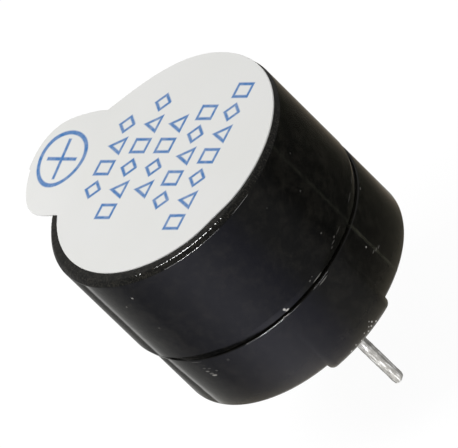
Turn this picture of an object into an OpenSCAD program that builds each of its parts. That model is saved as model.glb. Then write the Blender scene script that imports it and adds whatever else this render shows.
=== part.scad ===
// Sealed electromagnetic buzzer for a printed board: round two-piece housing, two round pins.
// Origin: centre of the seating plane under the standoff pads, midway between the pins.
// +Z points up through the sound hole, +X points to the positive pin.

/* [Housing] */
// Outside diameter of the cap
cap_d = 12; // [11:0.1:14]
// Height of the cap's top above the seating plane
body_h = 9.5; // [9:0.1:11]
// Thickness of the cap's side wall
cap_wall = 0.7; // [0.5:0.05:0.9]
// Thickness of the cap's top
cap_top = 0.9; // [0.6:0.05:1.2]
// How far the cap's top edge is cut back
edge_in = 0.14; // [0.05:0.01:0.25]
// How far down the side the cap's top edge is cut
edge_drop = 0.23; // [0.1:0.01:0.4]
// Height of the cap's lower edge above the seating plane
joint_h = 3.88; // [3.5:0.01:4.5]
// Width of the joint line between the cap and the base
joint_gap = 0.17; // [0.05:0.01:0.3]
// How far the cap's lower edge is cut back
foot_in = 0.09; // [0.02:0.01:0.1]
// How far up the side the cap's lower edge is cut
foot_rise = 0.36; // [0.1:0.01:0.4]
// How far the base's side stands in from the cap's
base_inset = 0.12; // [0.05:0.01:0.25]
// How far off centre the cap was set on the base
cap_shift = 0.1; // [0:0.01:0.15]
// Thickness of the base's wall round the resin
base_wall = 0.85; // [0.6:0.05:1]
// Rounding of the base's lower edge
base_edge = 0.18; // [0.05:0.01:0.3]
// Rounding of the base's upper edge at the joint line
joint_edge = 0.08; // [0.02:0.01:0.1]
// Thickness of the floor that parts the sounder from the board
floor_t = 0.5; // [0.4:0.05:0.8]

/* [Standoff pads] */
// Height of the pads that hold the base off the board
pad_h = 0.35; // [0.2:0.05:0.6]
// Width of each pad across the line of the pins
pad_w = 3.75; // [3:0.05:4.5]
// Rounding of the pads' lower corners
pad_round = 0.26; // [0.1:0.01:0.35]

/* [Spigot] */
// Clearance of the spigot in the cap beyond the off-centre setting
spigot_gap = 0.04; // [0.02:0.01:0.1]
// Thickness of the spigot's wall
spigot_wall = 0.65; // [0.55:0.05:0.8]
// Thickness of the lip round the diaphragm
lip_wall = 0.28; // [0.2:0.02:0.36]
// Height of the lip above the diaphragm's ledge
lip_h = 0.4; // [0.3:0.05:0.6]

/* [Sound chamber] */
// Diameter of the sound hole
sound_hole_d = 2; // [1.5:0.1:2.6]
// Wall of the neck round the sound hole
neck_wall = 0.7; // [0.5:0.05:1]
// Clearance of the neck over the armature disc
neck_gap = 0.4; // [0.3:0.05:1]
// Number of ribs inside the cap that stand on the spigot
rib_count = 6; // [4:1:8]
// Width of each rib
rib_w = 0.6; // [0.4:0.05:0.9]
// How far each rib stands in from the cap's wall
rib_depth = 0.65; // [0.55:0.05:0.9]

/* [Sounder] */
// Thickness of the diaphragm
diaphragm_t = 0.08; // [0.05:0.01:0.12]
// Clearance round the diaphragm
diaphragm_gap = 0.05; // [0.03:0.01:0.1]
// Diameter of the armature disc
armature_d = 4; // [3:0.1:5]
// Thickness of the armature disc
armature_t = 0.25; // [0.15:0.05:0.4]
// Air gap between the pole and the diaphragm
air_gap = 0.25; // [0.15:0.05:0.4]
// Diameter of the pole
pole_d = 2; // [1.6:0.1:2.6]
// Diameter of the pole's tail in the yoke
tail_d = 1.3; // [1:0.1:1.5]
// How far the pole stands above the coil
pole_proud = 0.35; // [0.2:0.05:0.6]
// Thickness of the yoke plate
yoke_t = 0.6; // [0.4:0.05:0.8]
// Clearance round the yoke plate and in its pole hole
yoke_gap = 0.02; // [0.01:0.01:0.05]
// Radial thickness of the ring magnet
magnet_wall = 1.1; // [0.9:0.05:1.3]
// Clearance round the ring magnet
magnet_gap = 0.1; // [0.05:0.01:0.2]
// How far the magnet's top lies under the diaphragm's ledge
magnet_drop = 0.35; // [0.2:0.05:0.6]

/* [Coil] */
// Height of the winding
coil_h = 2.05; // [1.6:0.05:2.4]
// Diameter of the enamelled wire
wire_d = 0.12; // [0.1:0.01:0.16]
// Clearance of the coil on the pole
coil_fit = 0.03; // [0.02:0.01:0.06]
// Free ring between the coil and the magnet, for the coil's ends
lead_ring = 0.4; // [0.3:0.05:0.6]
// Spacing of the two coil ends in each window
lead_pitch = 0.6; // [0.56:0.02:0.8]
// Clearance round the coil ends in the yoke
lead_gap = 0.18; // [0.1:0.01:0.2]

/* [Board] */
// Thickness of the circuit board
board_t = 0.8; // [0.6:0.1:1]
// Clearance round the board and round the pins in it
board_gap = 0.04; // [0.02:0.01:0.08]
// Length of the transistor's body
transistor_l = 2.9; // [2.6:0.1:3.2]
// Width of the transistor's body
transistor_w = 1.3; // [1.2:0.1:1.6]
// Height of the transistor over the board
transistor_h = 1.03; // [0.9:0.01:1.2]
// Length of the chip resistor
resistor_l = 1.6; // [1:0.1:2]
// Width of the chip resistor
resistor_w = 0.8; // [0.5:0.1:1]
// Height of the chip resistor
resistor_h = 0.45; // [0.35:0.05:0.6]
// Distance of the transistor and the resistor from the line of the pins
chip_y = 2.3; // [2:0.1:2.6]

/* [Solder and resin] */
// Height of the solder fillet at each pin
fillet_h = 0.4; // [0.2:0.05:0.6]
// Thickness of the fillet's lower rim round the pin
fillet_rim = 0.12; // [0.05:0.01:0.2]
// How far the fillet spreads from the pin on the board
fillet_reach = 0.35; // [0.2:0.05:0.45]
// Height of the solder dots on the coil's ends
dot_h = 0.25; // [0.15:0.05:0.35]
// How far the resin lies inside the base's rim
resin_inset = 0.1; // [0.05:0.01:0.3]
// Resin over the tallest part on the board
resin_cover = 0.12; // [0.05:0.01:0.3]
// Hairline between the resin and what is cast in it
resin_gap = 0.01; // [0.01:0.01:0.03]

/* [Pins] */
// Distance from each pin's axis to the wall of the resin well; sets the pitch of 7.6
pin_wall = 1.23; // [1:0.01:1.6]
// Diameter of the pins below the seating plane
pin_d = 0.5; // [0.4:0.05:0.7]
// Thickness of the tin that the pins are dipped in, up to the seating plane
tin_coat = 0.02; // [0.01:0.01:0.03]
// Length of the negative pin below the seating plane
pin_len = 4.1; // [3:0.1:8]
// How much longer the positive pin is
pin_extra = 1; // [0:0.1:2]
// Rounding of the pins' ends
tip_round = 0.19; // [0.1:0.01:0.2]

/* [Seal label] */
// How far the label's edge lies inside the cap's
label_inset = 0.32; // [0.1:0.01:0.6]
// Thickness of the label
label_t = 0.08; // [0.05:0.01:0.2]
// Turn of the tab from the positive pin
label_turn = 24; // [-90:1:90]
// How far the label was stuck on to one side
label_shift = 0.25; // [0:0.01:0.3]
// Width of the tab
tab_w = 5.5; // [4:0.1:7]
// How far the tab reaches beyond the label's round edge
tab_reach = 2.45; // [1.5:0.05:3.5]
// Radius of the tab's end
tab_end_r = 2.8; // [2.8:0.05:4]
// Fillet where the tab leaves the label
tab_fillet = 0.5; // [0.2:0.05:1]

/* [Hidden] */
$fn = 96;

// Radii, from the outside in
cap_r = cap_d / 2;
base_r = cap_r - base_inset;
cap_bore_r = cap_r - cap_wall;
spigot_r = cap_bore_r - cap_shift - spigot_gap;
motor_r = spigot_r - spigot_wall;
seat_r = spigot_r - lip_wall;
well_r = base_r - base_wall;
hole_r = sound_hole_d / 2;
neck_r = hole_r + neck_wall;
magnet_r = motor_r - magnet_gap;
magnet_in_r = magnet_r - magnet_wall;
pole_r = pole_d / 2;
coil_r = magnet_in_r - lead_ring;
coil_in_r = pole_r + coil_fit;
wire_r = wire_d / 2;
lead_r = coil_r + lead_ring / 2;
pin_r = pin_d / 2;
bare_r = pin_r - tin_coat;
pin_x = well_r - pin_wall;
label_r = cap_r - label_inset;

// Heights, from the seating plane up
base_z = pad_h;
resin_z = base_z + resin_inset;
board_z = resin_z + resin_cover + transistor_h;
board_top = board_z + board_t;
floor_top = board_top + floor_t;
yoke_top = floor_top + yoke_t;
shoulder_z = joint_h - joint_gap;
ceiling_z = body_h - cap_top;
pole_top = yoke_top + coil_h + pole_proud;
ledge_z = pole_top + air_gap;
spigot_top = ledge_z + lip_h;
magnet_h = ledge_z - magnet_drop - yoke_top;
coil_turns = floor(coil_h / wire_d);
turn_pitch = coil_h / coil_turns;
armature_z = ledge_z + diaphragm_t;
neck_z = armature_z + armature_t + neck_gap;
lead_z = yoke_top + 1.5 * wire_d;

// The coil's ends come down on both sides of the line of the pins, two to a window
LEAD_SIDES = [90, 270];
LEAD_OFFSETS = [-lead_pitch / 2, lead_pitch / 2];
yoke_slot_r = wire_r + lead_gap;
dot_r = lead_pitch / 2 - wire_r;
window_r = dot_r + lead_gap;

// Three-lead transistor package
transistor_lift = 0.05;
transistor_lead_w = 0.4;
transistor_lead_t = 0.12;
transistor_lead_out = 0.55;
transistor_lead_x = 0.95;

// Chip resistor: metal end caps, slightly larger than the ceramic between them
end_cap_l = 0.3;
end_cap_t = 0.02;

// Points of an arc about c, from angle a to angle b
function arc(c, r, a, b, steps = 6) =
    [for (i = [0:steps]) c + r * [cos(a + (b - a) * i / steps), sin(a + (b - a) * i / steps)]];

// Ring from radius inner to radius outer, standing on z
module ring(inner, outer, z, h) {
    rotate_extrude()
        translate([inner, z])
            square([outer - inner, h]);
}

// Upright slot with round ends, centred on a coil-end window at radius lead_r
module lead_slot(r, z, h) {
    for (side = LEAD_SIDES)
        rotate(side)
            translate([lead_r, 0, z]) {
                for (offset_y = LEAD_OFFSETS)
                    translate([0, offset_y, 0])
                        cylinder(r = r, h = h);
                translate([-r, -lead_pitch / 2, 0])
                    cube([2 * r, lead_pitch, h]);
            }
}

// Fillet that blends one side of the tab into the label's round edge
module tab_blend() {
    side_y = tab_w / 2;
    centre = [sqrt(pow(label_r + tab_fillet, 2) - pow(side_y + tab_fillet, 2)), side_y + tab_fillet];
    difference() {
        polygon([[0, 0], [centre[0], 0], centre]);
        translate(centre)
            circle(tab_fillet);
    }
}

// Outline of the label: a disc, and a tab along +X with a round end
module label_outline() {
    tab_centre = label_r + tab_reach - tab_end_r;
    circle(label_r);
    translate([0, -tab_w / 2])
        square([tab_centre, tab_w]);
    intersection() {
        translate([tab_centre, 0])
            circle(tab_end_r);
        translate([0, -tab_w / 2])
            square([label_r + tab_reach, tab_w]);
    }
    tab_blend();
    mirror([0, 1])
        tab_blend();
}

module seal_label() {
    color("#e3e3e0")
        translate([0, cap_shift, body_h])
            rotate(label_turn)
                translate([0, -label_shift, 0])
                    linear_extrude(label_t)
                        label_outline();
}

module top_cap() {
    profile = concat(
        [[cap_r - foot_in, joint_h], [cap_r, joint_h + foot_rise]],
        [[cap_r, body_h - edge_drop], [cap_r - edge_in, body_h]],
        [[hole_r, body_h], [hole_r, neck_z], [neck_r, neck_z], [neck_r, ceiling_z]],
        [[cap_bore_r, ceiling_z], [cap_bore_r, joint_h]]
    );
    color("#1b1b1d")
        translate([0, cap_shift, 0]) {
            rotate_extrude()
                polygon(profile);
            for (i = [0:rib_count - 1])
                rotate(i * 360 / rib_count)
                    translate([cap_bore_r - rib_depth, -rib_w / 2, spigot_top])
                        cube([rib_depth + cap_wall / 2, rib_w, ceiling_z - spigot_top + cap_top / 2]);
        }
}

// Pads on the base's rim, both from one rounded bar across the line of the pins
module standoff_pads() {
    pad_top = base_z + base_edge;
    outline = concat(
        arc([pad_w / 2 - pad_round, pad_round], pad_round, -90, 0),
        [[pad_w / 2, pad_top], [-pad_w / 2, pad_top]],
        arc([pad_round - pad_w / 2, pad_round], pad_round, 180, 270)
    );
    intersection() {
        ring(well_r, base_r, 0, pad_top);
        rotate([90, 0, 90])
            linear_extrude(2 * base_r, center = true)
                polygon(outline);
    }
}

module base_shell() {
    profile = concat(
        arc([base_r - base_edge, base_z + base_edge], base_edge, -90, 0),
        arc([base_r - joint_edge, shoulder_z - joint_edge], joint_edge, 0, 90),
        [[spigot_r, shoulder_z], [spigot_r, spigot_top], [seat_r, spigot_top], [seat_r, ledge_z]],
        [[motor_r, ledge_z], [motor_r, floor_top], [0, floor_top]],
        [[0, board_top], [well_r, board_top], [well_r, base_z]]
    );
    color("#1d1d1f") {
        difference() {
            rotate_extrude()
                polygon(profile);
            lead_slot(window_r, board_top - floor_t, 3 * floor_t);
        }
        standoff_pads();
    }
}

module diaphragm() {
    color("#b9bcc0")
        translate([0, 0, ledge_z])
            cylinder(r = seat_r - diaphragm_gap, h = diaphragm_t);
}

module armature_disc() {
    color("#8f9296")
        translate([0, 0, armature_z])
            cylinder(d = armature_d, h = armature_t);
}

module magnet_ring() {
    color("#3a3a3d")
        ring(magnet_in_r, magnet_r, yoke_top, magnet_h);
}

module pole_core() {
    color("#a3a6aa") {
        translate([0, 0, yoke_top])
            cylinder(r = pole_r, h = pole_top - yoke_top);
        translate([0, 0, floor_top])
            cylinder(d = tail_d, h = yoke_t);
    }
}

module yoke_plate() {
    color("#9a9da1")
        difference() {
            ring(tail_d / 2 + yoke_gap, motor_r - yoke_gap, floor_top, yoke_t);
            lead_slot(yoke_slot_r, floor_top - yoke_t, 3 * yoke_t);
        }
}

// Wound coil with its outer layer of turns, and the four wire ends led down through the yoke
module coil_winding() {
    turn_r = turn_pitch / 2;
    turns = [
        for (i = [0:coil_turns - 1])
            each arc([coil_r - turn_r, yoke_top + (2 * i + 1) * turn_r], turn_r, -90, 90, 4)
    ];
    coil_top = yoke_top + coil_h;
    color("#b5652d") {
        rotate_extrude()
            polygon(concat(turns, [[coil_in_r, coil_top], [coil_in_r, yoke_top]]));
        for (side = LEAD_SIDES)
            rotate(side)
                for (offset_y = LEAD_OFFSETS)
                    translate([0, offset_y, 0]) {
                        translate([coil_r - wire_d, 0, lead_z])
                            rotate([0, 90, 0])
                                cylinder(d = wire_d, h = lead_r - coil_r + wire_d);
                        translate([lead_r, 0, lead_z])
                            sphere(d = wire_d);
                        translate([lead_r, 0, board_top + dot_h])
                            cylinder(d = wire_d, h = lead_z - board_top - dot_h);
                    }
    }
}

module lead_solder() {
    color("#c8cacb")
        for (side = LEAD_SIDES)
            rotate(side)
                for (offset_y = LEAD_OFFSETS)
                    translate([lead_r, offset_y, board_top])
                        cylinder(r1 = dot_r, r2 = wire_d, h = dot_h);
}

module circuit_board() {
    color("#2f6b3a")
        difference() {
            translate([0, 0, board_z])
                cylinder(r = well_r - board_gap, h = board_t);
            for (x = [-pin_x, pin_x])
                translate([x, 0, board_z - board_t])
                    cylinder(r = bare_r + board_gap, h = 3 * board_t);
        }
}

// One bent lead of the transistor, from its body out along +Y and up to the board
module transistor_lead(x) {
    mid_z = board_z - (transistor_h + transistor_lift) / 2;
    inner_y = transistor_w / 2 - transistor_lead_t;
    bend_y = transistor_w / 2 + transistor_lead_t;
    translate([x - transistor_lead_w / 2, 0, 0]) {
        translate([0, inner_y, mid_z])
            cube([transistor_lead_w, bend_y + transistor_lead_t - inner_y, transistor_lead_t]);
        translate([0, bend_y, mid_z])
            cube([transistor_lead_w, transistor_lead_t, board_z - mid_z]);
        translate([0, bend_y, board_z - transistor_lead_t])
            cube([transistor_lead_w, transistor_lead_out - transistor_lead_t, transistor_lead_t]);
    }
}

module transistor() {
    color("#2a2a2c")
        translate([0, chip_y, 0]) {
            translate([-transistor_l / 2, -transistor_w / 2, board_z - transistor_h])
                cube([transistor_l, transistor_w, transistor_h - transistor_lift]);
            transistor_lead(0);
            rotate(180)
                for (x = [-transistor_lead_x, transistor_lead_x])
                    transistor_lead(x);
        }
}

module resistor() {
    color("#3b3b3d")
        translate([0, -chip_y, board_z - resistor_h]) {
            translate([-resistor_l / 2, end_cap_t - resistor_w / 2, end_cap_t])
                cube([resistor_l, resistor_w - 2 * end_cap_t, resistor_h - 2 * end_cap_t]);
            for (end = [-1, 1])
                translate([end * (resistor_l - end_cap_l) / 2 - end_cap_l / 2, -resistor_w / 2, 0])
                    cube([end_cap_l, resistor_w, resistor_h]);
        }
}

// Solder cone under the board at each pin, larger by grow where the resin is cast round it
module pin_fillets(grow) {
    for (x = [-pin_x, pin_x])
        translate([x, 0, board_z - fillet_h - grow])
            cylinder(r1 = bare_r + fillet_rim + grow, r2 = bare_r + fillet_reach + grow, h = fillet_h + grow);
}

module pin_solder() {
    color("#c8cacb")
        difference() {
            pin_fillets(0);
            for (x = [-pin_x, pin_x])
                translate([x, 0, board_z - 2 * fillet_h])
                    cylinder(r = bare_r + resin_gap, h = 3 * fillet_h);
        }
}

// Round pin at x: rounded end below, bare wire from the seating plane up to the base's floor
module pin(x, length) {
    profile = concat(
        [[0, -length]],
        arc([pin_r - tip_round, tip_round - length], tip_round, -90, 0),
        [[pin_r, 0], [bare_r, 0], [bare_r, board_top], [0, board_top]]
    );
    translate([x, 0, 0])
        rotate_extrude()
            polygon(profile);
}

module positive_pin() {
    color("#b3afa7")
        pin(pin_x, pin_len + pin_extra);
}

module negative_pin() {
    color("#b3afa7")
        pin(-pin_x, pin_len);
}

module potting_resin() {
    color("#161617")
        difference() {
            translate([0, 0, resin_z])
                cylinder(r = well_r - resin_gap, h = board_z - resin_z);
            transistor();
            resistor();
            pin_fillets(resin_gap);
            for (x = [-pin_x, pin_x])
                translate([x, 0, resin_z - board_z])
                    cylinder(r = bare_r + resin_gap, h = 3 * board_z);
        }
}

seal_label();
top_cap();
base_shell();
diaphragm();
armature_disc();
magnet_ring();
pole_core();
yoke_plate();
coil_winding();
lead_solder();
circuit_board();
transistor();
resistor();
pin_solder();
positive_pin();
negative_pin();
potting_resin();
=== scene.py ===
"""Visible skin, finishes and stage of a sealed board buzzer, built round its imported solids.

All lengths are in metres in the part's own frame: +Z up through the sound hole, +X to the positive pin.
"""

import bmesh
import bpy
import numpy as np
from bpy.props import FloatProperty, FloatVectorProperty, IntProperty, PointerProperty
from mathutils import Matrix, Vector


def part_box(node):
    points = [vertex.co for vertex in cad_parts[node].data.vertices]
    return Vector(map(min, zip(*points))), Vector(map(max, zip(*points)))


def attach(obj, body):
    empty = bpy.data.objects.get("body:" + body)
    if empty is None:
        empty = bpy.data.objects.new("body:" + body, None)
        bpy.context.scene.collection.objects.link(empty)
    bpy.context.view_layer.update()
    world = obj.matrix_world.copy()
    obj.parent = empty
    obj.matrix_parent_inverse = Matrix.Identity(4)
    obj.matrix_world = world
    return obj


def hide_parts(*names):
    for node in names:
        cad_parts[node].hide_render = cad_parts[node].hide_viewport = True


bl_info = {
    "name": "Sealed buzzer skin",
    "version": (1, 0, 0),
    "blender": (4, 5, 0),
    "location": "3D View > Sidebar > Buzzer",
    "description": "Builds the mouldings, label, pins and stage of a sealed board buzzer",
    "category": "Object",
}

MM = 0.001
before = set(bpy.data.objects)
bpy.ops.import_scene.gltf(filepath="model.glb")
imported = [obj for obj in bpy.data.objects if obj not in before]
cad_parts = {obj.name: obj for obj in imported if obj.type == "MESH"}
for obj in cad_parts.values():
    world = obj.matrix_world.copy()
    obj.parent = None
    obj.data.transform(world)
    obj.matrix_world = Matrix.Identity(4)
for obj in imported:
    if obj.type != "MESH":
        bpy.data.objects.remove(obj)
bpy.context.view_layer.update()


def low(node):
    """Lowest corner of a CAD node."""
    return Vector(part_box(node)[0])


def high(node):
    """Highest corner of a CAD node."""
    return Vector(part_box(node)[1])


def radius_of(node):
    """Half the width of a CAD node along X."""
    return (high(node).x - low(node).x) / 2


def cap_middle():
    """Middle of the cap along Y."""
    return (high("top_cap").y + low("top_cap").y) / 2


def length(name, description, default):
    """A length property, in metres."""
    return FloatProperty(name=name, description=description, default=default, unit="LENGTH", precision=5)


def turn(name, description, degrees):
    """An angle property, given in degrees."""
    return FloatProperty(name=name, description=description, default=np.radians(degrees), subtype="ANGLE")


def share(name, description, default):
    """A plain factor."""
    return FloatProperty(name=name, description=description, default=default, min=0.0)


def linear(code):
    """Linear colour from an sRGB hex code."""
    value = np.array([int(code[i:i + 2], 16) for i in (1, 3, 5)]) / 255
    return tuple(np.where(value <= 0.04045, value / 12.92, ((value + 0.055) / 1.055) ** 2.4))


def colour(name, description, code):
    """A colour property from an sRGB hex code."""
    return FloatVectorProperty(
        name=name, description=description, default=linear(code), subtype="COLOR", size=3)


class HousingSettings(bpy.types.PropertyGroup):
    """Sizes and colours of the cap and the base."""

    cap_radius: length("Cap radius", "Outside radius of the cap", radius_of("top_cap"))
    cap_wall: length("Cap wall", "Thickness of the cap's side wall", 0.7 * MM)
    cap_top: length("Cap top", "Thickness of the cap's top", 0.9 * MM)
    edge_in: length("Edge in", "How far the cap's top edge is cut back", 0.17 * MM)
    edge_drop: length("Edge drop", "How far down the side the cap's top edge is cut", 0.21 * MM)
    hole_radius: length("Sound hole", "Radius of the sound hole", 1.0 * MM)
    neck_wall: length("Neck wall", "Wall of the neck round the sound hole", 0.7 * MM)
    neck_gap: length("Neck gap", "Clearance of the neck over the armature disc", 0.4 * MM)
    rib_count: IntProperty(name="Ribs", description="Ribs inside the cap", default=6, min=1)
    rib_width: length("Rib width", "Width of each rib inside the cap", 0.6 * MM)
    rib_depth: length("Rib depth", "How far each rib stands in", 0.65 * MM)
    joint_gap: length("Joint gap", "Width of the joint line between cap and base", 0.17 * MM)
    foot_in: length("Foot in", "How far the cap's lower edge is cut back", 0.09 * MM)
    foot_rise: length("Foot rise", "How far up the side the cap's lower edge is cut", 0.36 * MM)
    spigot_wall: length("Spigot wall", "Thickness of the spigot's wall", 0.65 * MM)
    lip_wall: length("Lip wall", "Thickness of the lip round the diaphragm", 0.28 * MM)
    base_wall: length("Base wall", "Thickness of the base round the resin", 0.85 * MM)
    base_edge: length("Base edge", "Rounding of the base's lower edge", 0.18 * MM)
    joint_edge: length("Joint edge", "Rounding of the base's upper edge", 0.07 * MM)
    pad_height: length("Pad height", "Height of the standoff pads", 0.35 * MM)
    pad_width: length("Pad width", "Width of the standoff pads", 3.75 * MM)
    pad_round: length("Pad corner", "Rounding of the pads' lower corners", 0.26 * MM)
    burr: length("Burr", "Roughness of the cap's sharp top edge", 0.012 * MM)
    seam_height: length("Seam height", "Height of the mould's parting line", 0.010 * MM)
    seam_width: length("Seam width", "Half width of the mould's parting line", 0.06 * MM)
    seam_turn: turn("Seam turn", "Where the mould's parting line runs, from the positive pin", 211.8)
    plastic: colour("Plastic", "Colour of the moulded plastic", "#0f0f0e")
    columns: IntProperty(name="Columns", description="Steps round each moulding", default=960, min=96)


class LabelSettings(bpy.types.PropertyGroup):
    """Sizes and colours of the seal label and its print."""

    radius: length("Radius", "Radius of the round part", 5.68 * MM)
    thickness: length("Thickness", "Thickness of the film", high("seal_label").z - low("seal_label").z)
    direction: turn("Direction", "Turn of the tab from the positive pin", 21.2)
    shift: length("Shift", "How far the label lies to the right of the cap's centre", 0.25 * MM)
    back: length("Back", "How far the label lies away from its tab's side", 0.05 * MM)
    skew: turn("Skew", "How far the tab is cut out of line with the print", 2.5)
    tab_right: length("Tab right", "Width of the tab to the right of its middle line", 2.92 * MM)
    tab_left: length("Tab left", "Width of the tab to the left of its middle line", 2.55 * MM)
    tab_end: length("Tab end", "How far the tab's tip lies from the label's centre", 8.22 * MM)
    tab_end_radius: length("Tab end radius", "Radius of the tab's end", 2.72 * MM)
    corner: share("Corners", "How sharp the tab's corners are", 9.7)
    notch_right: share("Right notch", "How sharp the notch on the tab's right side is", 6.8)
    notch_left: share("Left notch", "How sharp the notch on the tab's left side is", 120.0)
    flat_depth: length("Flat", "Depth of the flat spot on the hand-cut edge", 0.11 * MM)
    flat_turn: turn("Flat turn", "Where the flat spot is, from the tab", 147.0)
    bulge: length("Bulge", "How far the hand-cut edge runs wide on its far side", 0.08 * MM)
    bulge_turn: turn("Bulge turn", "Where the edge runs wide, from the tab", -75.0)
    curl_start: length("Curl start", "How far from the centre the tab starts to curl", 4.9 * MM)
    lift: share("Lift", "Rise of the tab for each millimetre beyond the curl's start", 0.014)
    twist: share("Twist", "Fall of the tab's left side, for each millimetre out and across", 0.052)
    film: colour("Film", "Colour of the label", "#e3e3e2")
    ink: colour("Ink", "Colour of the print", "#4177b4")


class PinSettings(bpy.types.PropertyGroup):
    """Sizes and colours of the two pins."""

    radius: length(
        "Radius", "Radius of the dipped pin, its tin laid on thick", radius_of("negative_pin") + 0.025 * MM)
    lean: length("Lean", "How far the handled pins' ends are bent aside", 0.05 * MM)
    bare_radius: length("Bare radius", "Radius of the wire above the seating plane", 0.23 * MM)
    tip_round: length("Tip rounding", "Rounding of the pins' ends", 0.25 * MM)
    ripple: length("Ripple", "Unevenness of the dipped tin", 0.010 * MM)
    tin: colour("Tin", "Colour of the tinned wire", "#bab8b3")


class StageSettings(bpy.types.PropertyGroup):
    """Camera, floor, cards and lamps."""

    azimuth: turn("Azimuth", "Direction from the axis to the camera, from the positive pin", 172.8)
    elevation: turn("Elevation", "Height of the camera over the horizon", 33.45)
    roll: turn("Roll", "Turn of the camera about its line of sight", -45.76)
    distance: length("Distance", "Camera to object", 480.0 * MM)
    aim: FloatVectorProperty(
        name="Aim", description="Point on the line of sight", subtype="TRANSLATION", size=3,
        default=(0.0, 0.1 * MM, 4.9 * MM))
    offset: FloatVectorProperty(
        name="Offset", description="Where the aim lies in the picture, to the right and down", size=2,
        default=(-0.057 * MM, 0.336 * MM))
    lens: FloatProperty(name="Lens", description="Focal length in millimetres", default=896.7)
    fill: share("Fill", "Strength of the all-round light", 0.49)


class BuzzerSettings(bpy.types.PropertyGroup):
    """All sizes and colours, by group."""

    housing: PointerProperty(type=HousingSettings)
    label: PointerProperty(type=LabelSettings)
    pins: PointerProperty(type=PinSettings)
    stage: PointerProperty(type=StageSettings)


def connect(tree, node, inputs):
    """Set or link inputs, by name or in order. A node given as a value links its first output."""
    named = inputs if isinstance(inputs, dict) else dict(enumerate(inputs))
    for key, value in named.items():
        value = value.outputs[0] if isinstance(value, bpy.types.Node) else value
        if isinstance(value, bpy.types.NodeSocket):
            tree.links.new(value, node.inputs[key])
        else:
            node.inputs[key].default_value = value


def add(tree, kind, inputs=(), **settings):
    """Add a shader node, set its options, and set or link its inputs."""
    made = tree.nodes.new("ShaderNode" + kind)
    for name, value in settings.items():
        setattr(made, name, value)
    connect(tree, made, inputs)
    return made


def new_material(name, **values):
    """A material with one principled shader, whose constant values are set on its own sockets."""
    material = bpy.data.materials.new(name)
    material.use_nodes = True
    tree = material.node_tree
    shader = tree.nodes["Principled BSDF"]
    for key, value in values.items():
        shader.inputs[key.replace("_", " ")].default_value = value
    return material, tree, shader


def opaque(rgb):
    """Colour with full alpha."""
    return (*rgb, 1.0)


def per_mm(size):
    """Texture scale on object coordinates at which one feature is that many millimetres."""
    return 1 / (size * MM)


def rounded(corners, radii, steps=6):
    """Profile through corners, each replaced by a circular arc of its own radius.

    The arc touches both sides at radius / tan(half the corner's angle) from the corner, and its points are
    spaced evenly on the circle by spherical interpolation between the two touching points. A corner on a
    straight line keeps its place, so no divisor falls to nought.
    """
    least = 1e-9
    corners = np.array(corners, float)
    radii = np.array(radii, float)[:, None]
    to_last = np.roll(corners, 1, 0) - corners
    to_next = np.roll(corners, -1, 0) - corners
    to_last /= np.linalg.norm(to_last, axis=1, keepdims=True)
    to_next /= np.linalg.norm(to_next, axis=1, keepdims=True)
    half = np.arccos(np.clip((to_last * to_next).sum(1, keepdims=True), -1, 1)) / 2
    bisector = to_last + to_next
    bisector /= np.maximum(np.linalg.norm(bisector, axis=1, keepdims=True), least)
    centre = corners + bisector * radii / np.sin(half)
    start = corners + to_last * radii / np.tan(half) - centre
    end = corners + to_next * radii / np.tan(half) - centre
    sweep = (np.pi - 2 * half)[:, None]
    part = np.linspace(0, 1, steps)[None, :, None]
    arc = np.sin((1 - part) * sweep) * start[:, None] + np.sin(part * sweep) * end[:, None]
    return (centre[:, None] + arc / np.maximum(np.sin(sweep), least)).reshape(-1, 2)


def ripple(angle, lowest, highest, seed):
    """Even noise round a circle, about -1 to 1.

    It is a sum of cosines of all whole waves in a range, with random phases.
    """
    waves = np.arange(lowest, highest)
    phase = np.random.default_rng(seed).uniform(0, 2 * np.pi, len(waves))
    return np.cos(np.multiply.outer(angle, waves) + phase).sum(-1) / np.sqrt(2 * len(waves))


def turned(radius, angle, height):
    """Points from cylindrical coordinates about Z."""
    return np.stack(np.broadcast_arrays(radius * np.cos(angle), radius * np.sin(angle), height), -1)


def grid_faces(rows, columns, wrap_rows):
    """Quads between neighbouring points of a grid whose columns close round; wrapped rows close too."""
    i, j = np.meshgrid(np.arange(rows if wrap_rows else rows - 1), np.arange(columns), indexing="ij")
    below = (i + 1) % rows
    beside = (j + 1) % columns
    quads = [i * columns + j, i * columns + beside, below * columns + beside, below * columns + j]
    return np.stack(quads, -1)


def add_piece(name, points, material, wrap_rows=False, sharp=40.0):
    """Mesh object from a grid of points, poles merged and normals outward, riding on the one body."""
    rows, columns = points.shape[:2]
    mesh = bpy.data.meshes.new(name)
    faces = grid_faces(rows, columns, wrap_rows).reshape(-1, 4)
    mesh.from_pydata(points.reshape(-1, 3).tolist(), [], faces.tolist())
    work = bmesh.new()
    work.from_mesh(mesh)
    bmesh.ops.remove_doubles(work, verts=work.verts, dist=1e-4 * MM)
    bmesh.ops.recalc_face_normals(work, faces=work.faces)
    work.to_mesh(mesh)
    work.free()
    mesh.shade_smooth()
    mesh.set_sharp_from_angle(angle=np.radians(sharp))
    mesh.materials.append(material)
    piece = bpy.data.objects.new(name, mesh)
    bpy.context.collection.objects.link(piece)
    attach(piece, "root")
    return piece


def dress(node, material):
    """Give a carried-over CAD node its finish."""
    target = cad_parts[node]
    target.data.materials.clear()
    target.data.materials.append(material)


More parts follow.
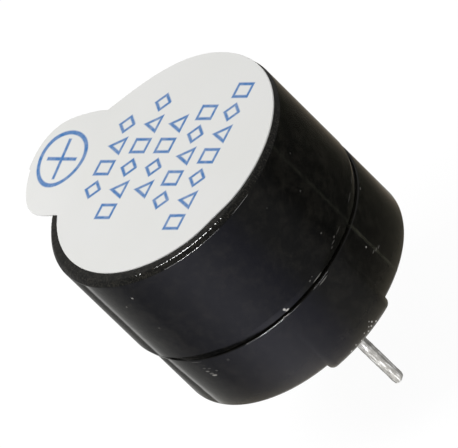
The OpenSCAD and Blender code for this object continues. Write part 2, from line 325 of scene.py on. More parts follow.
# Nicks, scratches, dust specks, painted glints and painted highlight lines on the two walls: degrees from the
# camera's side and height of the middle, half length round the wall and half height in millimetres, and how
# light each one is
CAP_MARKS_AND_GLINTS = (
    (-52.4, 8.41, 0.06, 0.06, 0.5), (-59.8, 7.89, 0.05, 0.05, 0.15), (-54.2, 6.32, 0.05, 0.05, 0.1),
    (33.8, 7.02, 0.06, 0.06, 0.06), (26.6, 5.06, 0.04, 0.04, 0.2), (18.0, 8.10, 0.04, 0.04, 0.06),
    # Painted highlight: the dashes at 27.5, 33.0, 50.0 and 60.0 degrees draw the faint light line on the top
    # of the foot's cut edge
    (44.0, 8.25, 0.05, 0.05, 0.06), (29.5, 4.37, 0.07, 0.05, 0.1), (27.5, 4.28, 0.15, 0.03, 0.1),
    (33.0, 4.33, 0.25, 0.03, 0.06), (50.0, 4.29, 0.35, 0.04, 0.05), (60.0, 4.28, 0.3, 0.04, 0.05),
    (25.5, 4.20, 0.09, 0.04, 0.1), (9.0, 4.15, 0.06, 0.06, 0.15), (10.8, 4.22, 0.04, 0.04, 0.1),
    # Painted glints: the white spots at -6.4 and -5.7 degrees are a nick, painted with the white glint it
    # catches; the dash at 12.2 degrees is a painted highlight on the cap's lower edge
    (-6.4, 4.08, 0.07, 0.10, 1.0), (-5.7, 3.95, 0.11, 0.06, 1.0), (12.2, 3.92, 0.32, 0.035, 0.35),
)
BASE_MARKS_AND_GLINTS = (
    (-56.0, 2.89, 0.12, 0.06, 0.2), (-55.1, 2.72, 0.14, 0.06, 0.16), (-54.4, 2.60, 0.16, 0.06, 0.4),
    (-56.2, 3.11, 0.12, 0.04, 0.08), (-53.7, 3.07, 0.10, 0.04, 0.08), (-51.2, 2.87, 0.08, 0.05, 0.08),
    # Painted highlight: the dash at -57.0 degrees is the thin light line on the base's upper edge
    (-41.7, 3.31, 0.08, 0.08, 0.04), (-57.0, 3.57, 0.35, 0.03, 0.08),
    (36.5, 2.51, 0.05, 0.05, 0.5), (37.4, 2.04, 0.12, 0.03, 0.15), (39.3, 1.95, 0.12, 0.03, 0.15),
    # Painted glints: the dashes at 12.3 and 60.0 degrees on the base's upper edge
    (41.2, 1.86, 0.12, 0.03, 0.15), (12.3, 3.57, 0.32, 0.035, 0.25), (60.0, 3.58, 0.10, 0.05, 0.1),
    # Painted glints: the spots from here to the end sparkle along the lower edge of a pad
    (14.0, 0.33, 0.05, 0.05, 0.7), (12.6, 0.22, 0.05, 0.05, 0.7), (11.6, 0.30, 0.04, 0.04, 0.5),
    (10.2, 0.17, 0.05, 0.05, 0.7), (15.4, 0.17, 0.05, 0.05, 0.7), (8.4, 0.27, 0.04, 0.04, 0.4),
    (13.2, 0.45, 0.04, 0.04, 0.4), (5.5, 0.12, 0.06, 0.06, 0.6), (2.6, 0.20, 0.04, 0.04, 0.5),
    (-0.5, 0.13, 0.05, 0.05, 0.7),
)


def mark_and_glint_spots(tree, place, table, points):
    """Mask of small soft ellipses: nicks, specks and scuffs, and painted glints and highlight lines.

    The way from an ellipse's middle is measured in its half sizes, and the mask fades towards its edge.
    """
    solid_part = 0.6
    total = 0.0
    for point, (_, _, length_half, height_half, light) in zip(points, table):
        scale = 1 / (np.array([length_half, length_half, height_half]) * MM)
        inside = add(tree, "VectorMath", (place, scale, -point * scale), operation="MULTIPLY_ADD")
        reach = add(tree, "VectorMath", (inside,), operation="LENGTH").outputs["Value"]
        spot = add(tree, "MapRange", {
            "Value": reach, "From Min": 1.0, "From Max": solid_part, "To Min": 0.0, "To Max": light})
        total = add(tree, "Math", (spot, total), operation="MAXIMUM")
    return total


# Pale warm grey of dust and trimmed grain, also used for the painted lift of the base's joint shade
DUST_AND_JOINT_LIFT = "#6b665a"
SPECK = "#4c4b47"
# Near-white of nicks and specks, also the colour of the painted glints and highlight lines
NICK_AND_GLINT = "#ebe8e1"


def moulded_abs(name, size, ior, line, marks_and_glints, worn_and_lifted):
    """Black ABS from a polished mould: semi-gloss, softly mottled, with a pale parting line, light specks and
    painted glints.

    line is the parting line's colour. The next two give masks: one of nicks and specks with painted glints
    and highlight lines among them, and one of trimmed grain on the cap, and of dust and a painted lift of the
    joint's shade on the base.
    """
    material, tree, shader = new_material(name, IOR=ior)
    place = add(tree, "TexCoord").outputs["Object"]
    cloud = add(tree, "TexNoise", {"Vector": place, "Scale": per_mm(2.2), "Detail": 3.0})
    gloss = add(tree, "MapRange", {
        "Value": cloud, "From Min": 0.3, "From Max": 0.7, "To Min": 0.035, "To Max": 0.06})

    # A thin uneven film of dust, and loose specks in one cell out of five
    film = add(tree, "TexNoise", {"Vector": place, "Scale": per_mm(0.7), "Detail": 5.0, "Roughness": 0.75})
    haze = add(tree, "MapRange", {
        "Value": film, "From Min": 0.47, "From Max": 0.75, "To Min": 0.0, "To Max": 0.09})
    cells = add(tree, "TexVoronoi", {"Vector": place, "Scale": per_mm(0.9)}, feature="F1")
    near = add(tree, "Math", (cells.outputs["Distance"], 0.028), operation="LESS_THAN")
    lot = add(tree, "SeparateColor", (cells.outputs["Color"],))
    chosen = add(tree, "Math", (lot, 0.8), operation="GREATER_THAN")
    specks = add(tree, "Math", (near, chosen), operation="MULTIPLY")

    # The parting line, broken up by the mottle
    mottle = add(tree, "TexNoise", {"Vector": place, "Scale": per_mm(0.35), "Detail": 3.0})
    seam_turn = (0, 0, size.seam_turn)
    seam_place = add(tree, "Mapping", {"Vector": place, "Rotation": seam_turn}, vector_type="TEXTURE")
    across = add(tree, "SeparateXYZ", (seam_place,)).outputs["Y"]
    aside = add(tree, "Math", (across,), operation="ABSOLUTE")
    witness = add(tree, "MapRange", {"Value": aside, "From Min": 0.13 * MM, "From Max": 0.02 * MM})
    parting = add(tree, "Math", (witness, mottle), operation="MULTIPLY")

    # The mottled skin, with each mask's colour laid over it in turn; the last two masks also carry painted
    # light
    plastic = np.array(size.plastic)
    dark = opaque(plastic * 0.5)
    light = opaque(plastic * 1.5)
    skin = add(tree, "Mix", {"Factor": mottle, 6: dark, 7: light}, data_type="RGBA")
    layers = (
        (haze, DUST_AND_JOINT_LIFT), (specks, SPECK), (parting, line), (worn_and_lifted(tree, place), DUST_AND_JOINT_LIFT), (marks_and_glints(tree, place), NICK_AND_GLINT),
    )
    for mask, code in layers:
        layer = opaque(linear(code))
        skin = add(tree, "Mix", {"Factor": mask, 6: skin.outputs[2], 7: layer}, data_type="RGBA")
    bump = add(tree, "Bump", {"Height": mottle, "Strength": 0.10, "Distance": 0.03 * MM})
    connect(tree, shader, {"Base Color": skin.outputs[2], "Roughness": gloss, "Normal": bump})
    return material


class BUZZER_OT_cap(bpy.types.Operator):
    """Turn the cap: chamfered top edge with a fine burr, rounded joint edge, sound hole, neck and ribs"""

    bl_idname = "buzzer.cap"
    bl_label = "Cap"

    def execute(self, context):
        size = context.scene.buzzer.housing
        outer = size.cap_radius
        bore = outer - size.cap_wall
        top = high("top_cap").z
        bottom = low("top_cap").z
        ceiling = top - size.cap_top
        rib_foot = high("base_shell").z
        neck_foot = high("armature_disc").z + size.neck_gap
        neck = size.hole_radius + size.neck_wall
        rib_step = 0.01 * MM
        burr_reach = 0.08 * MM
        burr_waves = (90, 420)

        def outline(rib):
            corners = [
                (bore, bottom), (outer - size.foot_in, bottom), (outer, bottom + size.foot_rise),
                (outer, top - size.edge_drop), (outer - size.edge_in, top),
                (size.hole_radius, top), (size.hole_radius, neck_foot), (neck, neck_foot), (neck, ceiling),
                (bore - rib, ceiling), (bore - rib, rib_foot), (bore, rib_foot - rib_step),
            ]
            radii = [0.03, 0.04, 0.05, 0.12, 0.10, 0.05, 0.05, 0.05, 0.05, 0.0, 0.0, 0.0]
            return rounded(corners, np.array(radii) * MM)

        angle = np.linspace(0, 2 * np.pi, size.columns, endpoint=False)
        pitch = 2 * np.pi / size.rib_count
        from_rib = np.abs((angle + pitch / 2) % pitch - pitch / 2) * bore
        ribbed = (from_rib < size.rib_width / 2)[None, :, None]
        profile = np.where(ribbed, outline(size.rib_depth)[:, None], outline(0.0)[:, None])
        radius, height = profile[..., 0], profile[..., 1]
        edge = np.exp(-(((radius - outer + size.edge_in) ** 2 + (height - top) ** 2) / burr_reach ** 2))
        radius = radius + edge * size.burr * ripple(angle, *burr_waves, 1)
        height = height + edge * np.minimum(size.burr * ripple(angle, *burr_waves, 2), 0)
        radius = radius + seam(angle, size) * (radius > outer - 2 * size.edge_in)
        middle = np.array([0, cap_middle(), 0])
        points = turned(radius, angle, height) + middle

        def marks_and_glints(tree, place):
            around, level = np.array(CAP_MARKS_AND_GLINTS).T[:2]
            foot = np.clip(1 - (level * MM - bottom) / size.foot_rise, 0, 1)
            around = np.radians(around) + context.scene.buzzer.stage.azimuth
            spots = turned(outer - size.foot_in * foot, around, level * MM) + middle
            return mark_and_glint_spots(tree, place, CAP_MARKS_AND_GLINTS, spots)

        def grain(tree, place):
            """Fine pale grain where the cap's top edge was trimmed."""
            fine = add(tree, "TexNoise", {"Vector": place, "Scale": per_mm(0.07), "Detail": 2.0})
            rough = add(tree, "MapRange", {
                "Value": fine, "From Min": 0.48, "From Max": 0.75, "To Min": 0.0, "To Max": 0.22})
            level = add(tree, "SeparateXYZ", (place,)).outputs["Z"]
            trimmed = add(tree, "Math", (level, top - size.edge_drop), operation="GREATER_THAN")
            return add(tree, "Math", (rough, trimmed), operation="MULTIPLY")

        plastic = moulded_abs("Cap ABS", size, 1.5, "#2a2b25", marks_and_glints, grain)
        piece = add_piece("cap", points, plastic, wrap_rows=True)
        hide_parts("top_cap")
        return {"FINISHED"}


def seam(angle, size):
    """Height of the mould's two parting lines, half a turn apart: a bell curve across each line."""
    off = (angle - size.seam_turn + np.pi / 2) % np.pi - np.pi / 2
    return size.seam_height * np.exp(-(off * size.cap_radius / size.seam_width) ** 2)


class BUZZER_OT_base(bpy.types.Operator):
    """Turn the base: spigot, ledge and floor inside, resin well below, and two pads drawn out of its rim"""

    bl_idname = "buzzer.base"
    bl_label = "Base"

    def execute(self, context):
        size = context.scene.buzzer.housing
        outer = radius_of("base_shell")
        well = outer - size.base_wall
        diaphragm_gap = 0.05 * MM
        spigot = radius_of("diaphragm") + diaphragm_gap + size.lip_wall
        lip = spigot - size.lip_wall
        motor = spigot - size.spigot_wall
        shoulder = low("top_cap").z - size.joint_gap
        rim = size.pad_height
        top = high("base_shell").z
        ledge = low("diaphragm").z
        floor_top = low("yoke_plate").z
        floor_low = high("circuit_board").z
        corners = [
            (0, floor_low), (well, floor_low), (well, rim), (outer, rim), (outer, shoulder),
            (spigot, shoulder), (spigot, top), (lip, top), (lip, ledge), (motor, ledge),
            (motor, floor_top), (0, floor_top),
        ]
        base_edge = size.base_edge / MM
        joint_edge = size.joint_edge / MM
        radii = [0.0, 0.03, 0.05, base_edge, joint_edge, 0.04, 0.04, 0.03, 0.02, 0.03, 0.03, 0.0]
        steps = 6
        profile = rounded(corners, np.array(radii) * MM, steps)
        radius, height = profile[:, :1], profile[:, 1:]
        angle = np.linspace(0, 2 * np.pi, size.columns, endpoint=False)[None]

        # On the rim the columns near the pads run parallel to the line of the pins, for straight pad sides
        pad_reach = np.radians(50)
        pad_blend = np.radians(20)
        off = (angle + np.pi / 2) % np.pi - np.pi / 2
        across = outer * np.sin(off)
        straight = np.arcsin(np.clip(across / np.maximum(radius, well), -1, 1))
        near = np.clip((pad_reach - np.abs(off)) / pad_blend, 0, 1)
        rows = np.arange(len(profile))[:, None] // steps
        on_rim = (rows >= 1) & (rows <= 3)
        bent = angle + on_rim * near * (straight - off)

        # A pad's lower face is level, and turns up at each side on a quarter circle
        beyond = np.clip(np.abs(across) - size.pad_width / 2 + size.pad_round, 0, size.pad_round)
        corner = size.pad_round - np.sqrt(size.pad_round ** 2 - beyond ** 2)
        drop = np.where(np.abs(across) < size.pad_width / 2, size.pad_height - corner, 0)
        height = height - ((rows == 2) | (rows == 3)) * drop
        radius = radius + seam(angle, size) * (radius > outer - size.base_edge) * (height < shoulder)

        def marks_and_glints(tree, place):
            around, level = np.array(BASE_MARKS_AND_GLINTS).T[:2]
            around = np.radians(around) + context.scene.buzzer.stage.azimuth
            return mark_and_glint_spots(tree, place, BASE_MARKS_AND_GLINTS, turned(outer, around, level * MM))

        def dust_and_joint_lift(tree, place):
            """Dust that thins out up the wall from rim or pad by two exponentials, and a painted lift of the
            joint's shade.
            """
            half_pad = size.pad_width / 2
            joint_depth = 0.01 * MM
            axes = add(tree, "SeparateXYZ", (place,)).outputs
            aside = add(tree, "Math", (axes["Y"],), operation="ABSOLUTE")
            foot = add(tree, "MapRange", {
                "Value": aside, "From Min": half_pad - size.pad_round, "From Max": half_pad,
                "To Min": 0.0, "To Max": rim})
            over_foot = add(tree, "Math", (axes["Z"], foot), operation="SUBTRACT")
            rise = add(tree, "Math", (over_foot, 0.0), operation="MAXIMUM")
            settled = 0.0
            for reach, amount in ((1.0 * MM, 0.2), (0.25 * MM, 0.9)):
                fall = add(tree, "Math", (rise, -reach), operation="DIVIDE")
                thin = add(tree, "Math", (fall,), operation="EXPONENT")
                settled = add(tree, "Math", (thin, amount, settled), operation="MULTIPLY_ADD")
            level = add(tree, "VectorMath", (place, (1, 1, 0)), operation="MULTIPLY")
            from_axis = add(tree, "VectorMath", (level,), operation="LENGTH").outputs["Value"]
            outside = add(tree, "MapRange", {
                "Value": from_axis, "From Min": outer - 2 * size.base_edge,
                "From Max": outer - size.base_edge, "To Min": 0.1, "To Max": 1.0})
            on_wall = add(tree, "Math", (settled, outside), operation="MULTIPLY")
            # Painted light: above the shoulder, in the joint and inside the base, the colour is lifted a
            # little out of its shade
            joint = add(tree, "Math", (axes["Z"], shoulder - joint_depth), operation="GREATER_THAN")
            painted_joint_lift = add(tree, "Math", (joint, 0.08), operation="MULTIPLY")
            return add(tree, "Math", (on_wall, painted_joint_lift), operation="MAXIMUM")

        plastic = moulded_abs("Base ABS", size, 1.6, "#45463c", marks_and_glints, dust_and_joint_lift)
        piece = add_piece("base", turned(radius, bent, height), plastic)
        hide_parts("base_shell")
        return {"FINISHED"}


def label_outline(angle, size):
    """Distance from the label's centre to its edge, by angle from the tab's middle line.

    The tab is the smooth lesser of a straight side, width / |sin|, and a round end; the label is the smooth
    greater of the tab and the disc. Both blends are power means, which round the corners and fill the
    notches. A shallow bell-shaped flat spot is taken off the disc, and a wider one added.
    """
    off = (angle - size.skew + np.pi) % (2 * np.pi) - np.pi
    width = np.where(off > 0, size.tab_left, size.tab_right)
    side = width / np.maximum(np.abs(np.sin(off)), 1e-3)
    centre = size.tab_end - size.tab_end_radius
    inside = size.tab_end_radius ** 2 - (centre * np.sin(off)) ** 2
    end = np.maximum(centre * np.cos(off) + np.sqrt(np.maximum(inside, 0)), 0.1 * MM)
    tab = (side ** -size.corner + end ** -size.corner) ** (-1 / size.corner)
    notch = np.where(off > 0, size.notch_left, size.notch_right)
    flat_spread = np.radians(9)
    bulge_spread = np.radians(20)
    flat = size.flat_depth * np.exp(-((off - size.flat_turn) / flat_spread) ** 2)
    bulge = size.bulge * np.exp(-((off - size.bulge_turn) / bulge_spread) ** 2)
    return size.radius * (1 + (tab / size.radius) ** notch) ** (1 / notch) - flat + bulge


def label_curl(along, left, size):
    """Height of the curled tab: it grows beyond a soft start, lifts with the way out, and twists across."""
    softness = 0.4 * MM
    out = along - size.curl_start
    soft = (out + np.sqrt(out ** 2 + softness ** 2)) / 2
    soft = np.where(along > 0, soft, 0)
    return soft * (size.lift - size.twist * left / MM)


def ringed_plus(tree, along, left):
    """Signed distance in millimetres to a plus in a ring: the least of those to the ring and to two bars."""
    mark_along = 6.50
    mark_left = -0.19
    ring_radius = 1.30
    ring_half_line = 0.10
    bar_half_line = 0.085
    long_half = 0.90
    cross_half = 1.0
    up = add(tree, "Math", (along, mark_along), operation="SUBTRACT")
    side = add(tree, "Math", (left, mark_left), operation="SUBTRACT")
    way = add(tree, "CombineXYZ", (up, side))
    reach = add(tree, "VectorMath", (way,), operation="LENGTH").outputs["Value"]
    off_ring = add(tree, "Math", (reach, ring_radius), operation="SUBTRACT")
    from_line = add(tree, "Math", (off_ring,), operation="ABSOLUTE")
    mark = add(tree, "Math", (from_line, ring_half_line), operation="SUBTRACT")
    high_up = add(tree, "Math", (up,), operation="ABSOLUTE")
    wide = add(tree, "Math", (side,), operation="ABSOLUTE")
    for lengthwise, half_length, crosswise in ((high_up, long_half, wide), (wide, cross_half, high_up)):
        beyond = add(tree, "Math", (lengthwise, half_length), operation="SUBTRACT")
        beside = add(tree, "Math", (crosswise, bar_half_line), operation="SUBTRACT")
        bar = add(tree, "Math", (beyond, beside), operation="MAXIMUM")
        mark = add(tree, "Math", (mark, bar), operation="MINIMUM")
    return mark


def rows_of_shapes(tree, along, left):
    """Signed distance in millimetres to rows of outlined shapes, one to a cell.

    Squares, triangles and diamonds take turns. The distance to a slanted side is the value of its line's
    equation over the length of the equation's slope.
    """
    counts = (7, 5, 4, 6, 4)
    row_pitch = 1.53
    row_start = -3.06
    row_half = 0.5
    rows_right = 0.30
    cell_pitch = 1.13
    square_half = 0.40
    half_width = 0.5
    diamond_half = 0.53
    half_line = 0.075
    field_middle = 0.50
    field_half = 3.6
    kinds = 3

    # Which row a point is in, and its height over the row's middle line
    from_start = add(tree, "Math", (along, row_start), operation="SUBTRACT")
    row_place = add(tree, "Math", (from_start, row_pitch), operation="DIVIDE")
    row = add(tree, "Math", (row_place,), operation="FLOOR")
    in_row = add(tree, "Math", (row_place,), operation="FRACT")
    tall = add(tree, "Math", (in_row, row_pitch, -row_half), operation="MULTIPLY_ADD")
    from_level = add(tree, "Math", (tall,), operation="ABSOLUTE")

    # Half the row's length, from a ramp with one step to a row that holds tenths of the count
    tenths = 10
    step = add(tree, "Math", (row, 1 / len(counts), 0.5 / len(counts)), operation="MULTIPLY_ADD")
    ramp = add(tree, "ValToRGB", (step,))
    ramp.color_ramp.interpolation = "CONSTANT"
    stops = ramp.color_ramp.elements
    while len(stops) < len(counts):
        stops.new(1.0)
    for i, count in enumerate(counts):
        stops[i].position = i / len(counts)
        stops[i].color = opaque((count / tenths,) * 3)
    held = add(tree, "SeparateColor", (ramp,))
    half_row = add(tree, "Math", (held, tenths / 2 * cell_pitch), operation="MULTIPLY")

    # Which cell it is in, and how far it lies from the cell's middle
    right = add(tree, "Math", (left, -1.0, -rows_right), operation="MULTIPLY_ADD")
    from_end = add(tree, "Math", (right, half_row), operation="ADD")
    cell_place = add(tree, "Math", (from_end, cell_pitch), operation="DIVIDE")
    cell = add(tree, "Math", (cell_place,), operation="FLOOR")
    in_cell = add(tree, "Math", (cell_place,), operation="FRACT")
    off_middle = add(tree, "Math", (in_cell, cell_pitch, -cell_pitch / 2), operation="MULTIPLY_ADD")
    from_mid = add(tree, "Math", (off_middle,), operation="ABSOLUTE")

    past_side = add(tree, "Math", (from_mid, square_half), operation="SUBTRACT")
    past_level = add(tree, "Math", (from_level, row_half), operation="SUBTRACT")
    square = add(tree, "Math", (past_side, past_level), operation="MAXIMUM")

    flank = 1 / np.hypot(1 / half_width, 1)
    leaning = add(tree, "Math", (from_mid, 1 / half_width, tall), operation="MULTIPLY_ADD")
    slope = add(tree, "Math", (leaning, flank, -flank * row_half), operation="MULTIPLY_ADD")
    past_foot = add(tree, "Math", (tall, -1.0, -row_half), operation="MULTIPLY_ADD")
    triangle = add(tree, "Math", (slope, past_foot), operation="MAXIMUM")

    facet = 1 / np.hypot(1 / half_width, 1 / diamond_half)
    steep = add(tree, "Math", (from_level, diamond_half), operation="DIVIDE")
    slanted = add(tree, "Math", (from_mid, 1 / half_width, steep), operation="MULTIPLY_ADD")
    diamond = add(tree, "Math", (slanted, facet, -facet), operation="MULTIPLY_ADD")

    # Each row starts two kinds further on than the one before
    order = add(tree, "Math", (row, 2.0, cell), operation="MULTIPLY_ADD")
    kind = add(tree, "Math", (order, kinds), operation="FLOORED_MODULO")
    shape = 0.0
    for number, distance in enumerate((square, triangle, diamond)):
        chosen = add(tree, "Math", (kind, number, 0.1), operation="COMPARE")
        shape = add(tree, "Math", (chosen, distance, shape), operation="MULTIPLY_ADD")
    inward = add(tree, "Math", (shape, half_line), operation="ADD")
    off_line = add(tree, "Math", (inward,), operation="ABSOLUTE")
    stroke = add(tree, "Math", (off_line, half_line), operation="SUBTRACT")

    # Nothing is printed beyond a row's ends or outside the field of rows
    from_axis = add(tree, "Math", (right,), operation="ABSOLUTE")
    beyond = add(tree, "Math", (from_axis, half_row), operation="SUBTRACT")
    off_field = add(tree, "Math", (along, field_middle), operation="SUBTRACT")
    from_field = add(tree, "Math", (off_field,), operation="ABSOLUTE")
    above = add(tree, "Math", (from_field, field_half), operation="SUBTRACT")
    outside = add(tree, "Math", (beyond, above), operation="MAXIMUM")
    return add(tree, "Math", (stroke, outside), operation="MAXIMUM")


def printed_film(size, place):
    """Matt white polyester film with thin blue print: a plus in a ring on the tab, and rows of shapes."""
    material, tree, shader = new_material("Label film", IOR=1.45, Roughness=0.55, Specular_IOR_Level=0.0)
    surface = add(tree, "TexCoord").outputs
    raw = surface["Object"]
    flat = add(tree, "Mapping", {
        "Vector": raw, "Location": place, "Rotation": (0, 0, size.direction), "Scale": (MM, MM, 1)},
        vector_type="TEXTURE")
    axes = add(tree, "SeparateXYZ", (flat,)).outputs
    mark = ringed_plus(tree, axes["X"], axes["Y"])
    rows = rows_of_shapes(tree, axes["X"], axes["Y"])
    nearest = add(tree, "Math", (mark, rows), operation="MINIMUM")
    soft_edge = 0.03
    ink = add(tree, "MapRange", {"Value": nearest, "From Min": soft_edge, "From Max": -soft_edge})

    # The ink is on the upper face only and lies unevenly, and the film is warmer and cooler in soft patches
    spots = add(tree, "TexNoise", {"Vector": raw, "Scale": per_mm(0.25), "Detail": 3.0})
    cover = add(tree, "MapRange", {
        "Value": spots, "From Min": 0.3, "From Max": 0.7, "To Min": 0.78, "To Max": 1.0})
    laid = add(tree, "Math", (ink, cover), operation="MULTIPLY")
    facing = add(tree, "SeparateXYZ", (surface["Normal"],)).outputs["Z"]
    upper = add(tree, "Math", (facing, 0.0), operation="GREATER_THAN")
    printed = add(tree, "Math", (laid, upper), operation="MULTIPLY")
    patches = add(tree, "TexNoise", {"Vector": raw, "Scale": per_mm(3.5), "Detail": 2.0})
    warm = opaque(linear("#dfdfdb"))
    film = add(tree, "Mix", {"Factor": patches, 6: opaque(size.film), 7: warm}, data_type="RGBA")
    mixed = add(tree, "Mix", {"Factor": printed, 6: film.outputs[2], 7: opaque(size.ink)}, data_type="RGBA")
    fibre = add(tree, "TexNoise", {"Vector": raw, "Scale": per_mm(0.15), "Detail": 3.0})
    bump = add(tree, "Bump", {"Height": fibre, "Strength": 0.08, "Distance": 0.02 * MM})
    connect(tree, shader, {"Base Color": mixed.outputs[2], "Normal": bump})
    return material


class BUZZER_OT_label(bpy.types.Operator):
    """Lay the seal label on the cap: a round film with a slightly curled pull tab"""

    bl_idname = "buzzer.label"
    bl_label = "Seal label"

    def execute(self, context):
        size = context.scene.buzzer.label
        columns = 720
        rings = 40
        crowding = 1.5
        bevel = 0.02 * MM
        bottom = low("seal_label").z
        angle = np.linspace(0, 2 * np.pi, columns, endpoint=False)
        edge = label_outline(angle, size)
        # Profile from the middle of the upper face, over the cut edge, to the middle of the lower face
        inner = 1 - (1 - np.linspace(0, 1, rings)) ** crowding
        upper = np.multiply.outer(inner, edge - bevel)
        reach = np.concatenate([upper, edge[None], edge[None], upper[::-1]])
        cut_edge = [size.thickness - bevel, bevel]
        rise = np.concatenate([np.full(rings, size.thickness), cut_edge, np.zeros(rings)])[:, None]
        along = reach * np.cos(angle)
        left = reach * np.sin(angle)
        height = bottom + rise + label_curl(along, left, size)
        cos = np.cos(size.direction)
        sin = np.sin(size.direction)
        middle = Vector((0, cap_middle(), bottom))
        middle += size.shift * Vector((sin, -cos, 0)) - size.back * Vector((cos, sin, 0))
        x = middle.x + along * cos - left * sin
        y = middle.y + along * sin + left * cos
        points = np.stack([x, y, height], -1)
        piece = add_piece("seal_label_film", points, printed_film(size, middle))
        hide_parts("seal_label")
        return {"FINISHED"}


def dipped_tin(rgb):
    """Copper-clad wire dipped in tin: dull silver, streaked and scuffed along its length, with soft dents."""
    material, tree, shader = new_material("Dipped tin", Metallic=1.0)
    place = add(tree, "TexCoord").outputs["Object"]
    drawn = add(tree, "Mapping", {"Vector": place, "Scale": (1, 1, 0.2)})
    streak = add(tree, "TexNoise", {"Vector": drawn, "Scale": per_mm(0.09), "Detail": 3.0})
    tone = add(tree, "ValToRGB", (streak,))
    stops = tone.color_ramp.elements
    stops[0].position = 0.34
    stops[0].color = opaque(np.array(rgb) * 0.7)
    stops[1].position = 0.66
    stops[1].color = opaque((0.95, 0.95, 0.93))
    stops.new(0.54).color = opaque(rgb)
    dull = add(tree, "MapRange", {
        "Value": streak, "From Min": 0.3, "From Max": 0.7, "To Min": 0.22, "To Max": 0.36})
    dents = add(tree, "TexNoise", {"Vector": drawn, "Scale": per_mm(0.16), "Detail": 2.0})
    bump = add(tree, "Bump", {"Height": dents, "Strength": 0.25, "Distance": 0.05 * MM})
    connect(tree, shader, {"Base Color": tone, "Roughness": dull, "Normal": bump})
    return material


class BUZZER_OT_pins(bpy.types.Operator):
    """Draw the two pins: dipped tin below the seating plane, bare wire above it, rounded ends"""

    bl_idname = "buzzer.pins"
    bl_label = "Pins"

    def execute(self, context):
        size = context.scene.buzzer.pins
        tin = dipped_tin(size.tin)
        columns = 64
        rows = 90
        angle = np.linspace(0, 2 * np.pi, columns, endpoint=False)
        bend = np.linspace(0, np.pi / 2, 8)
        flat = size.radius - size.tip_round
        bare = [size.bare_radius, size.bare_radius, 0]
        for seed, node in enumerate(("negative_pin", "positive_pin")):
            tip = low(node).z
            top = high(node).z
            middle = (low(node).x + high(node).x) / 2
            # Profile from the tip's middle over its rounding, up the shank and along the bare wire
            reach = [[0], flat + size.tip_round * np.sin(bend), np.full(rows, size.radius), bare]
            shank = np.linspace(tip + size.tip_round, 0, rows)
            rise = [[tip], tip + size.tip_round * (1 - np.cos(bend)), shank, [0, top, top]]
            radius = np.concatenate(reach)[:, None]
            height = np.concatenate(rise)[:, None]
            # The tin lies in soft swellings along the pin and round it, and only ever thins towards the wire
            along = ripple(height * np.pi / MM, 1, 5, seed)
            swell = along + 0.6 * ripple(angle + height / MM, 1, 3, seed + 5)
            radius = radius - size.ripple * np.clip(0.5 + 0.5 * swell, 0, 1) * (radius > flat)
            points = turned(radius, angle, height) + np.array([middle, 0, 0])
            points[..., 1] -= size.lean * (0.5 + 0.5 * height / tip) * (radius > size.bare_radius)
            piece = add_piece(node + "_wire", points, tin)
            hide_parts(node)
        return {"FINISHED"}


def cast_resin():
    """Black epoxy as poured: glossy, with a soft uneven flow and a few trapped bubbles."""
    material, tree, shader = new_material("Potting epoxy", IOR=1.55)
    place = add(tree, "TexCoord").outputs["Object"]
    flow = add(tree, "TexNoise", {"Vector": place, "Scale": per_mm(1.8), "Detail": 2.0})
    deep = opaque(linear("#0e0e0f"))
    pale = opaque(linear("#1a1a1c"))
    tone = add(tree, "Mix", {"Factor": flow, 6: deep, 7: pale}, data_type="RGBA")
    gloss = add(tree, "MapRange", {"Value": flow, "To Min": 0.12, "To Max": 0.3})
    bubbles = add(tree, "TexVoronoi", {"Vector": place, "Scale": per_mm(0.7)}).outputs["Distance"]
    pit = add(tree, "MapRange", {"Value": bubbles, "From Min": 0.05, "From Max": 0.12})
    bump = add(tree, "Bump", {"Height": pit, "Strength": 0.3, "Distance": 0.04 * MM})
    connect(tree, shader, {"Base Color": tone.outputs[2], "Roughness": gloss, "Normal": bump})
    return material


class BUZZER_OT_resin(bpy.types.Operator):
    """Pour the resin's skin: level in the middle, drawn up along the wall and at both pins"""

    bl_idname = "buzzer.resin"
    bl_label = "Potting resin"

    def execute(self, context):
        resin = cast_resin()
        dress("potting_resin", resin)
        edge = radius_of("potting_resin")
        level = low("potting_resin").z
        rows = 60
        columns = 240
        skin = 0.02 * MM
        wire = 0.25 * MM
        wall_climb = 0.07 * MM
        wall_fade = 0.25 * MM
        pin_climb = 0.09 * MM
        pin_fade = 0.2 * MM
        angle = np.linspace(0, 2 * np.pi, columns, endpoint=False)
        radius = edge * np.linspace(0, 1, rows)[:, None]
        x = radius * np.cos(angle)
        y = radius * np.sin(angle)
        # Two climbs that fall off exponentially with the distance from the wall and from the pins
        to_wall = edge - radius + 0 * angle
        to_pin = np.hypot(np.abs(x) - high("positive_pin").x + wire, y) - wire
        climb = wall_climb * np.exp(-to_wall / wall_fade)
        climb = climb + pin_climb * np.exp(-np.maximum(to_pin, 0) / pin_fade)
        face = np.stack(np.broadcast_arrays(x, y, level - skin - climb), -1)
        back = np.stack(np.broadcast_arrays(x, y, np.full_like(x, level)), -1)
        points = np.concatenate([face, back[::-1]])
        add_piece("resin_skin", points, resin)
        return {"FINISHED"}


def rolled_metal(name, code, roughness, grain):
    """Rolled or turned metal: a plain sheen broken by fine lines of one grain width in millimetres."""
    material, tree, shader = new_material(name, Metallic=1.0)
    place = add(tree, "TexCoord").outputs["Object"]
    drawn = add(tree, "Mapping", {"Vector": place, "Scale": (1, 0.1, 1)})
    lines = add(tree, "TexNoise", {"Vector": drawn, "Scale": per_mm(grain), "Detail": 3.0})
    light = np.array(linear(code))
    tone = add(tree, "Mix", {"Factor": lines, 6: opaque(light * 0.8), 7: opaque(light)}, data_type="RGBA")
    spread = 0.06
    dull = add(tree, "MapRange", {
        "Value": lines, "To Min": roughness - spread, "To Max": roughness + spread})
    connect(tree, shader, {"Base Color": tone.outputs[2], "Roughness": dull})
    return material


